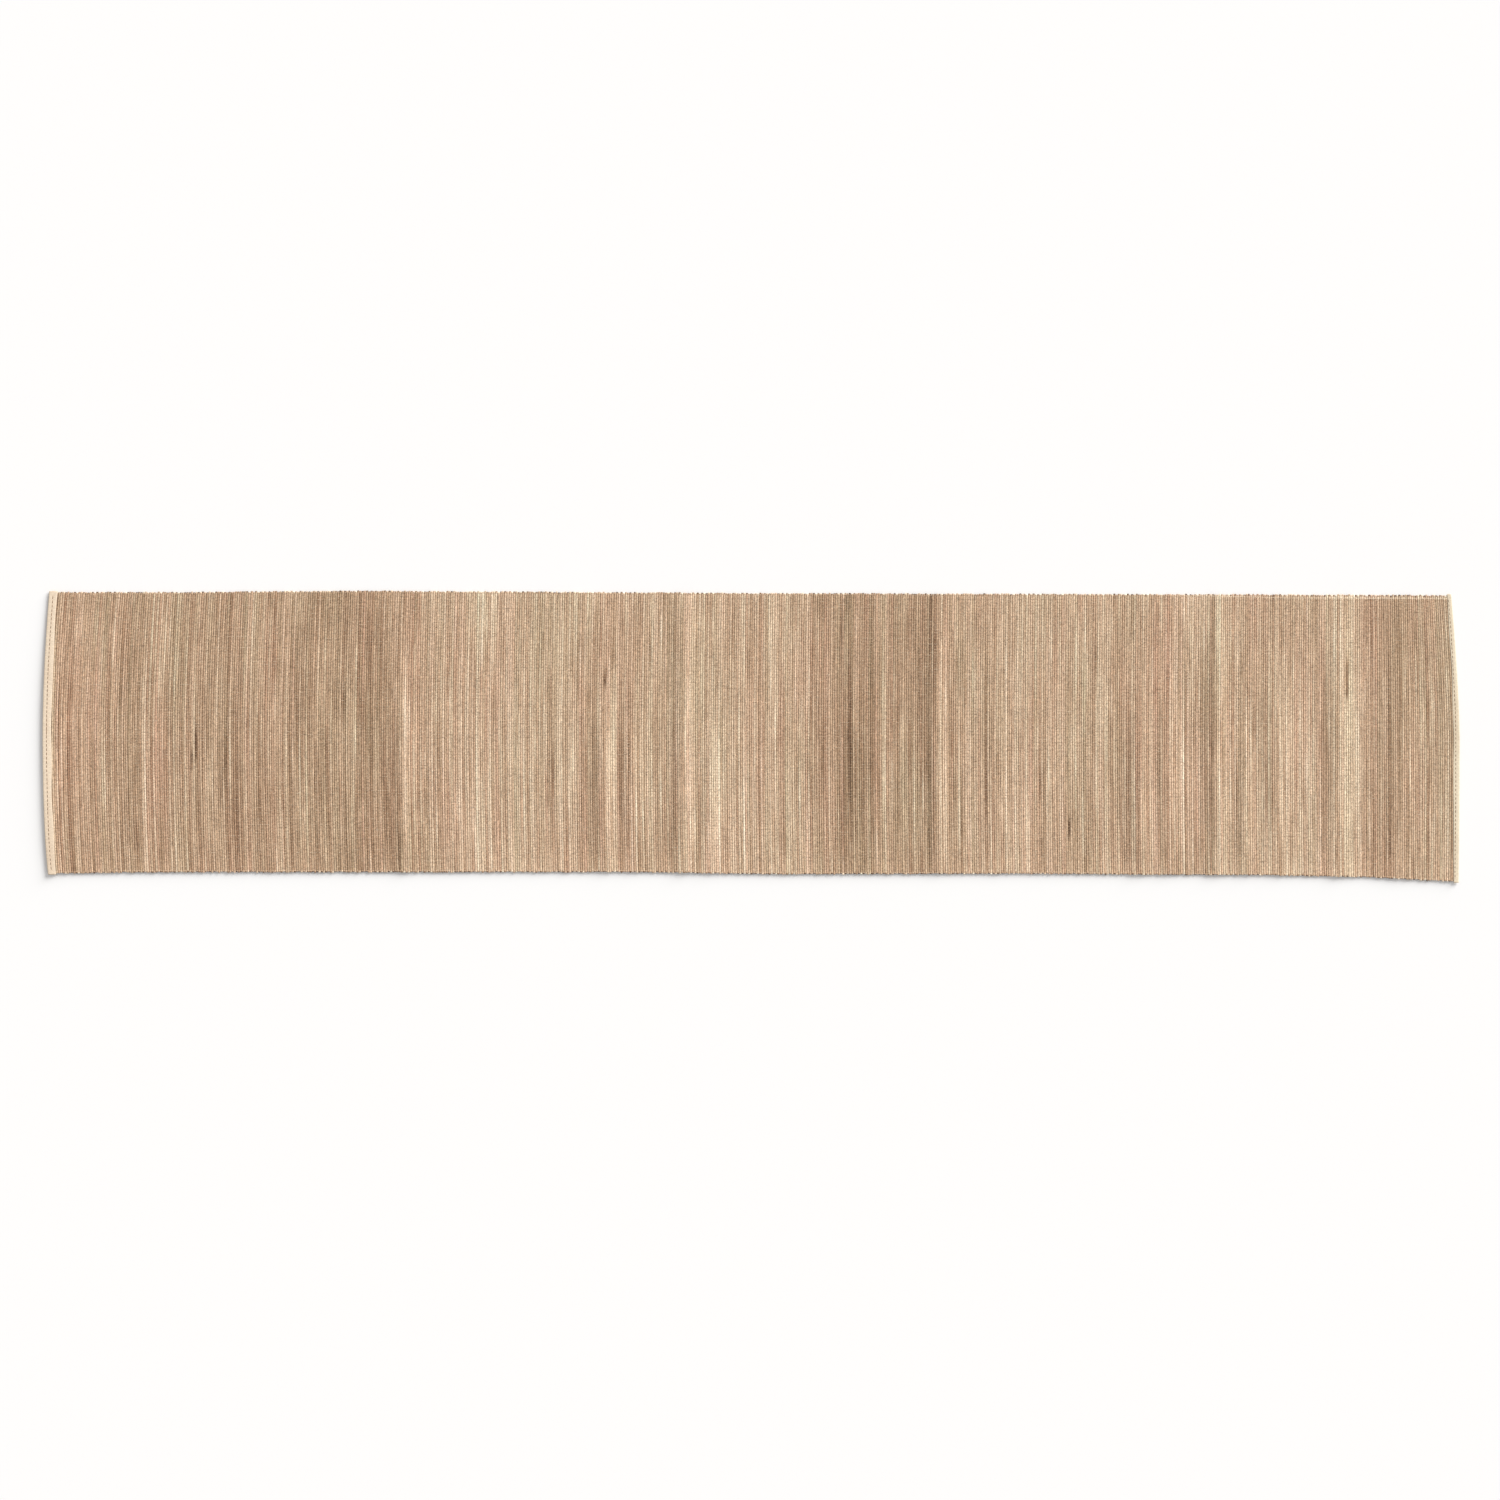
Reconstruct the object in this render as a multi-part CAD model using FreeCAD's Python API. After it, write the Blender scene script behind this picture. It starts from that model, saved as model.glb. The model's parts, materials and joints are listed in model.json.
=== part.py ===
import FreeCAD, Part
import math
import os

# Woven table runner. Stiff plant-fibre ribs lie side by side across the runner, and fine warp
# threads in pairs, one over and one under the ribs, run its whole length and hold them. A pair of
# selvedge cords does the same along each long edge. Each cut end is closed by a folded binding,
# sewn through with a needle thread above and a bobbin thread below.
#
# Frame: millimetres. X runs along the runner, Y across it, Z up. The origin is on the table, under
# the middle of the runner. Left is -X, right is +X, front is -Y, back is +Y.
#
# The runner is in panels with a narrow fold strip of loose ribs between each two. A fold strip has
# an axis along Y at each side, at half the runner's thickness. Each strip and panel is a body, so
# threads stop short of the axes.

# Overall size
LENGTH = 1800.0
WIDTH = 360.0

# Ribs
RIB_PITCH = 2.85
RIB_GAP = 0.45
RIB_HEIGHT = 1.6

# Warp threads and selvedge cords
THREAD_HEIGHT = 0.2
WARP_WIDTH = 0.6
WARP_PITCH = 10.8
CORD_WIDTH = 1.6
RIB_END_OUTSIDE_CORD = 1.2
CORD_TO_WARP = 1.0

# Folds
FOLD_CLEARANCE = 0.15
FOLDED_LAYER_GAP = 2.5
FOLDED_TIP_ROOM = 5.0

# End bindings
BINDING_THICKNESS = 0.25
BINDING_END_ROOM = 2.0
CLIMB_CLEARANCE = 0.05
LEFT_BINDING_RIBS = 3
RIGHT_BINDING_RIBS = 2
LEFT_SEAM_FROM_END = 1
RIGHT_SEAM_FROM_END = 1

# Seams
STITCHES_PER_WARP = 2
SEAM_THREAD_WIDTH = 0.3
NEEDLE_HOLE_CLEARANCE = 0.05
LOCK_CLEARANCE = 0.05
STITCH_DIP = 0.6
STITCH_DIP_DEPTH = 0.14

# Heights that follow: the runner and its bound ends are equally thick, so a bound rib is pressed
THICKNESS = RIB_HEIGHT + 2 * THREAD_HEIGHT
MIDDLE = THICKNESS / 2
LEAF_BOTTOM = THREAD_HEIGHT
LEAF_TOP = LEAF_BOTTOM + BINDING_THICKNESS
BOUND_THREAD_TOP = LEAF_TOP + THREAD_HEIGHT
BOUND_RIB_HEIGHT = THICKNESS - 2 * BOUND_THREAD_TOP

# Rib section: widest at half its height, with a flat narrow enough to turn past its neighbour
RIB_HALF_WIDTH = (RIB_PITCH - RIB_GAP) / 2
RIB_HALF_FLAT = RIB_PITCH / 2 - RIB_HEIGHT / 2 - FOLD_CLEARANCE
THREAD_TO_AXIS = THICKNESS / 2 + FOLD_CLEARANCE

# Numbers of ribs in each half of the runner, from the middle of the centre fold outwards
RIBS_PER_HALF = int((LENGTH / 2 - BINDING_END_ROOM) / RIB_PITCH)
END_FOLD_RIBS = math.ceil((THICKNESS + FOLDED_LAYER_GAP) / RIB_PITCH)
FOLDED_STACK = 2 * END_FOLD_RIBS * RIB_PITCH + THICKNESS + FOLDED_LAYER_GAP
CENTRE_FOLD_HALF_RIBS = math.ceil(FOLDED_STACK / 2 / RIB_PITCH)
TIP_ROOM_RIBS = math.ceil((FOLDED_TIP_ROOM + BINDING_END_ROOM) / 2 / RIB_PITCH)
PANEL_RIBS = RIBS_PER_HALF - CENTRE_FOLD_HALF_RIBS - END_FOLD_RIBS
END_PANEL_RIBS = PANEL_RIBS // 2 - TIP_ROOM_RIBS
HALF_PANEL_RIBS = PANEL_RIBS - END_PANEL_RIBS

# Fold axes, as distances from the middle
CENTRE_AXIS = CENTRE_FOLD_HALF_RIBS * RIB_PITCH
INNER_END_AXIS = CENTRE_AXIS + HALF_PANEL_RIBS * RIB_PITCH
OUTER_END_AXIS = INNER_END_AXIS + END_FOLD_RIBS * RIB_PITCH
LAST_RIB_SIDE = RIBS_PER_HALF * RIB_PITCH

# Rows across the width
CORD_Y = WIDTH / 2 - RIB_END_OUTSIDE_CORD - CORD_WIDTH / 2
WARP_ROOM = CORD_Y - CORD_WIDTH / 2 - CORD_TO_WARP - WARP_WIDTH / 2
WARPS_PER_SIDE = int(WARP_ROOM / WARP_PITCH)
STITCH_PITCH = WARP_PITCH / STITCHES_PER_WARP
STITCHES_PER_SIDE = int((CORD_Y - CORD_WIDTH) / STITCH_PITCH + 0.5)


def polygon(points):
    """A flat face with straight sides through the points."""
    corners = [FreeCAD.Vector(*point) for point in points]
    return Part.Face(Part.makePolygon(corners + corners[:1]))


def along_y(outline, y_low, y_high):
    """A prism from an outline in X and Z, between two values of Y."""
    face = polygon([(x, y_low, z) for x, z in outline])
    return face.extrude(FreeCAD.Vector(0, y_high - y_low, 0))


def along_x(outline, x_low, x_high):
    """A prism from an outline in Y and Z, between two values of X."""
    face = polygon([(x_low, y, z) for y, z in outline])
    return face.extrude(FreeCAD.Vector(x_high - x_low, 0, 0))


def turned_over(shape):
    """The shape mirrored top to bottom in the runner's middle plane."""
    return shape.mirror(FreeCAD.Vector(0, 0, MIDDLE), FreeCAD.Vector(0, 0, 1))


def write(name, solids):
    """One node: a solid, or a group of equal loose solids."""
    shape = solids[0] if len(solids) == 1 else Part.makeCompound(solids)
    shape.exportStep("parts/" + name + ".step")


def rib(x, height):
    """One fibre rib across the runner, centred on x and on the middle plane."""
    outline = [
        (x - RIB_HALF_WIDTH, MIDDLE),
        (x - RIB_HALF_FLAT, MIDDLE - height / 2),
        (x + RIB_HALF_FLAT, MIDDLE - height / 2),
        (x + RIB_HALF_WIDTH, MIDDLE),
        (x + RIB_HALF_FLAT, MIDDLE + height / 2),
        (x - RIB_HALF_FLAT, MIDDLE + height / 2),
    ]
    return along_y(outline, -WIDTH / 2, WIDTH / 2)


def ribs(x_low, count, height=RIB_HEIGHT):
    """Ribs side by side, the first one starting at x_low."""
    return [rib(x_low + (i + 0.5) * RIB_PITCH, height) for i in range(count)]


def rows(outline, places, row_width):
    """The same thread outline at each place across the width."""
    half = row_width / 2
    return [along_y(outline, y - half, y + half) for y in places]


def flat_thread(x_low, x_high):
    """Outline of a thread that runs straight under the ribs, between two values of X."""
    return [(x_low, 0), (x_high, 0), (x_high, THREAD_HEIGHT), (x_low, THREAD_HEIGHT)]


def bound_thread(x_start, binding_edge, x_end):
    """Outline of a thread under the ribs that climbs into the binding. Works towards either end."""
    side = math.copysign(1, x_end - x_start)
    foot = binding_edge - side * (RIB_PITCH / 2 - RIB_HALF_FLAT)
    head = binding_edge - side * CLIMB_CLEARANCE
    return [
        (x_start, 0),
        (foot, 0),
        (head, LEAF_TOP),
        (x_end, LEAF_TOP),
        (x_end, BOUND_THREAD_TOP),
        (head, BOUND_THREAD_TOP),
        (foot, THREAD_HEIGHT),
        (x_start, THREAD_HEIGHT),
    ]


def write_threads(body, outline):
    """The warp threads and selvedge cords of one body, over and under its ribs."""
    warp_places = [i * WARP_PITCH for i in range(-WARPS_PER_SIDE, WARPS_PER_SIDE + 1)]
    lower_warps = rows(outline, warp_places, WARP_WIDTH)
    write(body + "_warp_lower", lower_warps)
    write(body + "_warp_upper", [turned_over(warp) for warp in lower_warps])
    for edge, y in (("front", -CORD_Y), ("back", CORD_Y)):
        lower_cord = rows(outline, [y], CORD_WIDTH)[0]
        write(body + "_selvedge_" + edge, [lower_cord, turned_over(lower_cord)])


def write_inner_body(body, x_low, x_high):
    """A panel or fold strip with a fold axis at both sides."""
    write(body + "_ribs", ribs(x_low, round((x_high - x_low) / RIB_PITCH)))
    write_threads(body, flat_thread(x_low + THREAD_TO_AXIS, x_high - THREAD_TO_AXIS))


def stitch_places():
    """The needle holes of a seam, each halfway between two warp threads or beside one."""
    return [
        (i + 0.5) * STITCH_PITCH for i in range(-STITCHES_PER_SIDE, STITCHES_PER_SIDE)
    ]


def needle_thread(seam_x):
    """The seam's upper thread: it lies on the binding and dips into each needle hole."""
    half = SEAM_THREAD_WIDTH / 2
    leaf = THICKNESS - THREAD_HEIGHT
    places = stitch_places()
    under = []
    over = [(places[0] - half, THICKNESS)]
    for y in places:
        under += [(y - half, leaf), (y - half, MIDDLE + LOCK_CLEARANCE)]
        under += [(y + half, MIDDLE + LOCK_CLEARANCE), (y + half, leaf)]
    for y in places[1:-1]:
        over += [(y - STITCH_DIP, THICKNESS), (y, THICKNESS - STITCH_DIP_DEPTH)]
        over += [(y + STITCH_DIP, THICKNESS)]
    over += [(places[-1] + half, THICKNESS)]
    return along_x(under[1:-1] + over[::-1], seam_x - half, seam_x + half)


def binding(binding_edge, end, seam_x):
    """The folded tape that holds the cut end between an upper and a lower leaf."""
    side = math.copysign(1, end)
    fold = end - side * BINDING_THICKNESS
    outline = [
        (binding_edge, LEAF_BOTTOM),
        (end, LEAF_BOTTOM),
        (end, THICKNESS - LEAF_BOTTOM),
        (binding_edge, THICKNESS - LEAF_BOTTOM),
        (binding_edge, THICKNESS - LEAF_TOP),
        (fold, THICKNESS - LEAF_TOP),
        (fold, LEAF_TOP),
        (binding_edge, LEAF_TOP),
    ]
    tape = along_y(outline, -WIDTH / 2, WIDTH / 2)
    hole = SEAM_THREAD_WIDTH + 2 * NEEDLE_HOLE_CLEARANCE
    holes = [
        Part.makeBox(
            hole, hole, THICKNESS, FreeCAD.Vector(seam_x - hole / 2, y - hole / 2, 0)
        )
        for y in stitch_places()
    ]
    return tape.cut(Part.makeCompound(holes))


def write_end(side_name, side, bound_ribs, seam_from_end):
    """An end panel, from its fold axis to the end of the runner, with its binding and seam."""
    body = side_name + "_end"
    free_ribs = END_PANEL_RIBS - bound_ribs
    binding_edge = side * (OUTER_END_AXIS + free_ribs * RIB_PITCH)
    seam_x = side * (LAST_RIB_SIDE - seam_from_end * RIB_PITCH)
    thread_start = side * (OUTER_END_AXIS + THREAD_TO_AXIS)
    free_low = min(side * OUTER_END_AXIS, binding_edge)
    bound_low = min(side * LAST_RIB_SIDE, binding_edge)
    panel = ribs(free_low, free_ribs) + ribs(bound_low, bound_ribs, BOUND_RIB_HEIGHT)
    write(body + "_ribs", panel)
    write_threads(body, bound_thread(thread_start, binding_edge, side * LAST_RIB_SIDE))
    write(side_name + "_binding", [binding(binding_edge, side * LENGTH / 2, seam_x)])
    upper = needle_thread(seam_x)
    write(side_name + "_needle_thread", [upper])
    write(side_name + "_bobbin_thread", [turned_over(upper)])


def main():
    os.makedirs("parts", exist_ok=True)
    write_inner_body("centre_fold", -CENTRE_AXIS, CENTRE_AXIS)
    write_inner_body("left_half", -INNER_END_AXIS, -CENTRE_AXIS)
    write_inner_body("right_half", CENTRE_AXIS, INNER_END_AXIS)
    write_inner_body("left_fold", -OUTER_END_AXIS, -INNER_END_AXIS)
    write_inner_body("right_fold", INNER_END_AXIS, OUTER_END_AXIS)
    write_end("left", -1, LEFT_BINDING_RIBS, LEFT_SEAM_FROM_END)
    write_end("right", 1, RIGHT_BINDING_RIBS, RIGHT_SEAM_FROM_END)
    print("fold axes", CENTRE_AXIS, INNER_END_AXIS, OUTER_END_AXIS, "at height", MIDDLE)


main()
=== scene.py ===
"""Looks of a ribbed table runner of natural plant fibre, lying flat, seen from straight above.

Metres, in the frame's own axes: X along the runner, Y across it, Z up, the table at z = 0.
Every piece is worked out flat, on the frame's sizes, and then laid by place(), which bows the
ends, lets the long edges drift and lifts a few soft ripples. The woven part is cut into sections,
so that each one rides on one body or crosses one fold axis.
"""

import json
import math

import bpy
import numpy as np
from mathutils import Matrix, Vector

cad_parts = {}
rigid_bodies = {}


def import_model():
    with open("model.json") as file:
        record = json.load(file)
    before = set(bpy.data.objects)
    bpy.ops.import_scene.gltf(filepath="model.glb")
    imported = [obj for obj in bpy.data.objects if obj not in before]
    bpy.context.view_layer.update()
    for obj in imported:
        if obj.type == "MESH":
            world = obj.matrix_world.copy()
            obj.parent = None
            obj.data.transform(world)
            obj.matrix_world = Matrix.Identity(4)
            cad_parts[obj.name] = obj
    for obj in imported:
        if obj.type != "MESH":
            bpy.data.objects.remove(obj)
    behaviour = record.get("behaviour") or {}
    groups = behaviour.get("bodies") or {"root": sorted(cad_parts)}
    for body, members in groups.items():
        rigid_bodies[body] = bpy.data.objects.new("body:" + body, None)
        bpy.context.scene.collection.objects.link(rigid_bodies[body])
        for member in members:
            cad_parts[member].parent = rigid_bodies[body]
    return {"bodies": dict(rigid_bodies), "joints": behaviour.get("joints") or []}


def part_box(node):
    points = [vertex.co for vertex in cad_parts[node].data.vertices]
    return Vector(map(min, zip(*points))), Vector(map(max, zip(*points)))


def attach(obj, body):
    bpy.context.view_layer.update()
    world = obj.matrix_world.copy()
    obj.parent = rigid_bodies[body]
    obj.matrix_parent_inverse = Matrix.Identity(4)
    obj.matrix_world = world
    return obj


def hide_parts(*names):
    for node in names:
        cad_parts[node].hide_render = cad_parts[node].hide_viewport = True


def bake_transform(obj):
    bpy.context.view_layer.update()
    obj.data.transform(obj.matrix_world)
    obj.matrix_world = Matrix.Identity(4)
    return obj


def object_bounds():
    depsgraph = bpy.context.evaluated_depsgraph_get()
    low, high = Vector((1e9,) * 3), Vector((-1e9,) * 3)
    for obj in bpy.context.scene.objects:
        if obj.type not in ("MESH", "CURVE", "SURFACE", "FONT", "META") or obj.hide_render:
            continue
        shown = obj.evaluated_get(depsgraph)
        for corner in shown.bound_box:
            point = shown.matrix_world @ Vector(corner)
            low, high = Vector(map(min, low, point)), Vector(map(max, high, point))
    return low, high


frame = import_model()
CAD_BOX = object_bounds()
MM = 0.001

# Sizes and places from the frame
HALF_LENGTH = CAD_BOX[1].x
HALF_WIDTH = CAD_BOX[1].y
MIDDLE = CAD_BOX[1].z / 2
AXES = sorted(joint["pos_m"][0] for joint in frame["joints"])
BODIES = sorted(frame["bodies"], key=lambda body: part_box(body + "_ribs")[0].x)
RIB_PITCH = 2.85 * MM
RIB_COUNT = 2 * int((HALF_LENGTH - 2 * MM) / RIB_PITCH)
CORD_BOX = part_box("left_half_selvedge_back")
CORD_Y = (CORD_BOX[0].y + CORD_BOX[1].y) / 2
WARP_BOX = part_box("left_half_warp_upper")
BOUND_RIBS = {"left": 3, "right": 2}

# Ribs
RIB_SIDES = 12
RIB_STEPS = 30
RIB_HALF_HEIGHT = 0.78 * MM
BOUND_HALF_HEIGHT = 0.36 * MM
RIB_SPACE = 0.14 * MM
RIB_WANDER = 0.2 * MM
LOBE_DEPTH = 0.07
RIB_END_WANDER = 0.6 * MM
RIB_END_STEPS = [0.0, 0.35 * MM, 1.0 * MM, 2.0 * MM, 3.2 * MM, 5.5 * MM]
RIB_END_SIZES = [0.5, 0.86, 0.98, 0.9, 1.0, 1.0]
RIB_END_TONES = [2.2, 2.2, 1.8, 0.8]

# Threads
WARP_PITCH = 3.6 * MM
WARP_HALF_WIDTH = 0.25 * MM
WARP_HALF_HEIGHT = 0.13 * MM
WARP_CREST = 0.83 * MM
WARP_LAND = 0.65 * MM
WARP_TWIST = 0.13 * MM
WARP_DIP = 0.1 * MM
WARP_TONE = 0.3
WARP_ROW_TONE = 0.4
WARP_TICK_TONE = 2.0
CORD_CREST = 0.7 * MM
CORD_DIP = 0.25 * MM
CORD_PLY = 0.3 * MM
CORD_BOUND = 0.28 * MM
CORD_TWIST_WIDE = 0.34 * MM
CORD_TWIST_HIGH = 0.1 * MM
CORD_TONE = 0.2
CORD_STEPS_PER_RIB = 5

# The back cord draws in and grows lighter towards the right end: metres along, and how much
CORD_INWARD = 2.6 * MM
CORD_INWARD_START = 0.56
CORD_INWARD_FADE = 0.12
CORD_LIT_TONE = 2.8
CORD_LIT_START = 0.5
CORD_LIT_FADE = 0.1

# End bindings and their seams
TAPE_THICKNESS = 0.26 * MM
TAPE_TOP = 0.84 * MM
TAPE_PROUD = 1.3 * MM
TAPE_TONES = {"left": 3.9, "right": 3.4}
TAPE_BLUSHES = {"left": 0.6, "right": -0.4}
TAPE_UNEVEN = 0.4
DIMPLE_DEPTH = 0.16
# Painted shade in the tape's dimples at the stitches, in steps of tone
DIMPLE_PAINTED_SHADE = 1.2
PUFF = 0.05
STITCH_PITCH = 5.4 * MM
STITCH_STEPS = 8
SEAM_RADIUS = 0.2 * MM
SEAM_WAVE = 0.2 * MM
SEAM_SPREAD = {"needle": 2.2, "bobbin": 1.1}
SEAM_TONE = -3.0
SEAM_BLUSH = 0.8

# How the runner lies
REST_HEIGHT = 0.15 * MM
BACK_EDGE = [(-900, 180.0), (-720, 180.2), (-500, 181.8), (-200, 180.0), (20, 178.8),
             (420, 177.6), (700, 177.0), (900, 176.0)]
FRONT_EDGE = [(-900, -177.6), (-780, -176.0), (-150, -175.8), (40, -178.6), (330, -177.8),
              (640, -179.6), (790, -182.4), (860, -186.6), (900, -188.0)]

# Ripples, in millimetres: place along and across, half widths along and across, height
RIPPLES = [
    (-905, -40, 20, 200, 2.6),
    (-560, 70, 9, 80, 1.2),
    (-443, -60, 9, 110, 2.0),
    (-188, -70, 9, 90, 2.8),
    (-153, -60, 9, 85, 2.6),
    (-87, -10, 9, 170, 3.0),
    (-53, -95, 8, 75, 2.0),
    (160, 30, 6, 130, 0.8),
    (235, 0, 8, 150, 2.3),
    (312, -60, 9, 100, 1.0),
    (492, -70, 9, 100, 2.9),
    (527, -70, 9, 90, 2.5),
    (591, -10, 9, 160, 2.9),
    (627, -100, 8, 75, 2.2),
    (666, -60, 10, 100, 2.2),
    (745, -10, 9, 160, 2.9),
    (822, -20, 12, 150, 1.5),
    (893, 0, 10, 150, 0.9),
]
EDGE_LIFT = 0.8 * MM
EDGE_LIFT_REACH = 0.1
EDGE_LIFT_START = 60 * MM

# Broad light and dark bands: millimetres from the middle, and steps lighter or darker
ZONES = [(-900, -0.7), (-700, -0.8), (-650, -1.2), (-600, -0.7), (-560, -1.3), (-480, -1.1),
         (-420, -0.2), (-340, 1.0), (-290, 1.0), (-240, 0.2), (0, 0.7), (50, 0.3), (100, -1.3),
         (230, -1.0), (260, 0.1), (350, 1.0), (390, 0.8), (430, -0.1), (500, 0.5), (700, 0.6),
         (765, 1.3), (800, -0.8), (850, 0.0), (900, 0.3)]

# Spread of the ribs' tone, in steps: by band, rib by rib, and slowly and quickly along a rib
BAND_TONE = 0.66
RIB_TONE = 0.44
SLOW_TONE = 0.44
QUICK_TONE = 0.28
SHARED_TONE = 0.15

# Pale and dark streaks in single ribs: how strong they are, and where in the spread they start
PALE_STREAK = 1.3
PALE_START = 1.0
DARK_STREAK = 1.2
DARK_START = 1.1

# Painted shade and light on the ripples: ribs painted darker on the side away from the light
# and paler on the side towards it, by steps of tone for a slope of one
RIPPLE_PAINTED_SHADE = 3.6

# Rib ends are light and dark by turns, uneven, and a little darker on the whole: painted shade
END_UNEVEN = 0.8
END_PAINTED_SHADE = 0.3

# A light line just inside the back edge, which fades in towards the right end
LIGHT_LINE_TONE = 2.2
LIGHT_LINE_START = 0.68
LIGHT_LINE_FADE = 0.08

# From olive to rose: rib by rib, along a rib, shared by neighbours, and warmer by the left tape
RIB_BLUSH = 0.35
SLOW_BLUSH = 0.3
SHARED_BLUSH = 0.35
WARM_BLUSH = 0.7
WARM_X = -872
WARM_REACH = 13

# Strands inside a rib: how far their tones differ
STRAND_TONE = 0.45

# Short dark knots in a rib: place along and across, and half length, in millimetres
KNOTS = [(-705, -14, 13), (-712, -32, 8), (758, 84, 12), (757, 58, 7), (-186, 70, 6),
         (402, -120, 7)]
KNOT_TONE = 5.0
KNOT_SWELL = 0.12

# A fibre's colour at even steps from dark to light, sRGB 0 to 255
FIBRE_STEPS = [-4.0, -2.0, 0.0, 2.0, 4.0]
FIBRE_COLOURS = [(110, 82, 60), (158, 127, 99), (195, 165, 136), (222, 198, 170), (242, 225, 199)]

# Studio: the table, the light and the camera
TABLE_HALF = 30.0
TABLE_Z = -0.4 * MM
TABLE_COLOUR = (0.906, 0.903, 0.905, 1.0)
FILL_COLOUR = (1.0, 0.996, 0.99, 1.0)
FILL_STRENGTH = 0.545
LIGHT_COLOUR = (1.0, 0.985, 0.965)
LIGHT_STRENGTH = 4.5
LIGHT_BREADTH = math.radians(40)
LIGHT_TURN = (math.radians(-39.7), math.radians(59.4), 0)
CAMERA_PLACE = (-1.6 * MM, -20.6 * MM, 6.0)
CAMERA_SEES = 1.906
SENSOR = 36.0

rng = np.random.default_rng(20)


def linear(*srgb):
    """Linear light of an sRGB colour, 0 to 255."""
    share = np.array(srgb, float) / 255
    return np.where(share <= 0.04045, share / 12.92, ((share + 0.055) / 1.055) ** 2.4)


FIBRE_LIGHT = np.array([linear(*colour) for colour in FIBRE_COLOURS])


def along(points, x):
    """Reads a list of millimetre pairs at x, both in metres."""
    places, values = np.array(points, float).T
    return np.interp(x, places * MM, values)


def wander(count, knots, where):
    """Smooth random curves, count of them, read at the given shares of their length."""
    values = rng.normal(size=(count, knots + 1))
    place = where[None, :] * (knots - 1) + rng.uniform(size=(count, 1))
    low = np.clip(place.astype(int), 0, knots - 1)
    share = place - low
    share = share * share * (3 - 2 * share)
    row = np.arange(count)[:, None]
    return values[row, low] * (1 - share) + values[row, low + 1] * share


def soften(field, reach):
    """Averages a field over its neighbouring rows, and keeps its spread."""
    weights = np.exp(-0.5 * (np.arange(-3 * reach, 3 * reach + 1) / reach) ** 2)
    weights /= math.sqrt((weights**2).sum())
    return np.apply_along_axis(lambda row: np.convolve(row, weights, "same"), 0, field)


def pull(x, y):
    """How far a point is shifted along the runner by the bow of its ends.

    Each corner pulls by some millimetres, more towards its edge, and less away from its end.
    """
    across = y / HALF_WIDTH
    left, right = x + HALF_LENGTH, HALF_LENGTH - x
    back = np.clip(across, 0, None)
    front = np.clip(-across, 0, None)
    # Back left corner, back right, front left and its tip, and front right
    shift = back**1.7 * (9.4 * np.exp(-left / 0.35) - 2.0 * np.exp(-left / 0.02) + 0.8)
    shift -= back**1.5 * 11.6 * np.exp(-right / 0.05)
    shift += front**2 * (4.6 * np.exp(-left / 0.5) + 0.8)
    shift += front**6 * 1.4 * np.exp(-left / 0.02)
    shift -= front**2 * 2.2 * np.exp(-right / 0.1)
    return shift * MM


def lift(x, y):
    """How far the runner's middle surface stands off the table."""
    high = np.zeros(np.broadcast(x, y).shape)
    for centre, middle, wide, reach, height in RIPPLES:
        beside = (x / MM - centre) / wide
        beyond = (y / MM - middle) / reach
        high = high + height * np.exp(-0.5 * beside**2) / (1 + beyond**4)
    front = np.clip((-y / HALF_WIDTH - 1 + EDGE_LIFT_REACH) / EDGE_LIFT_REACH, 0, 1.2)
    clear = np.clip((x + HALF_LENGTH) / EDGE_LIFT_START, 0, 1)
    return high * MM + EDGE_LIFT * clear * front**2


def place(flat):
    """Lays points of the flat runner, with z measured from its middle."""
    x, y, z = flat[..., 0], flat[..., 1], flat[..., 2]
    back, front = along(BACK_EDGE, x) * MM, along(FRONT_EDGE, x) * MM
    laid = np.empty_like(flat)
    laid[..., 0] = x + pull(x, y)
    laid[..., 1] = (back + front) / 2 + y / HALF_WIDTH * (back - front) / 2
    laid[..., 2] = z + MIDDLE + REST_HEIGHT + lift(x, y)
    return laid


def fibre_colour(tone, blush):
    """Linear colour of fibre: tone is steps lighter or darker, blush is from olive to rose."""
    colour = np.stack([np.interp(tone, FIBRE_STEPS, band) for band in FIBRE_LIGHT.T], axis=-1)
    tint = np.stack([1 + 0.03 * blush, 1 - 0.025 * blush, 1 - 0.015 * blush], axis=-1)
    return colour * tint


def around(path, wide, high, sides, across, start=0.0):
    """Rings about a path: wide and high are half sizes, across is the axis that wide lies on."""
    angle = start + 2 * math.pi * np.arange(sides) / sides
    rings = np.repeat(path[..., None, :], sides, axis=-2)
    rings[..., across] += wide[..., None] * np.cos(angle)
    rings[..., 2] += high[..., None] * np.sin(angle)
    return rings


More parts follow.
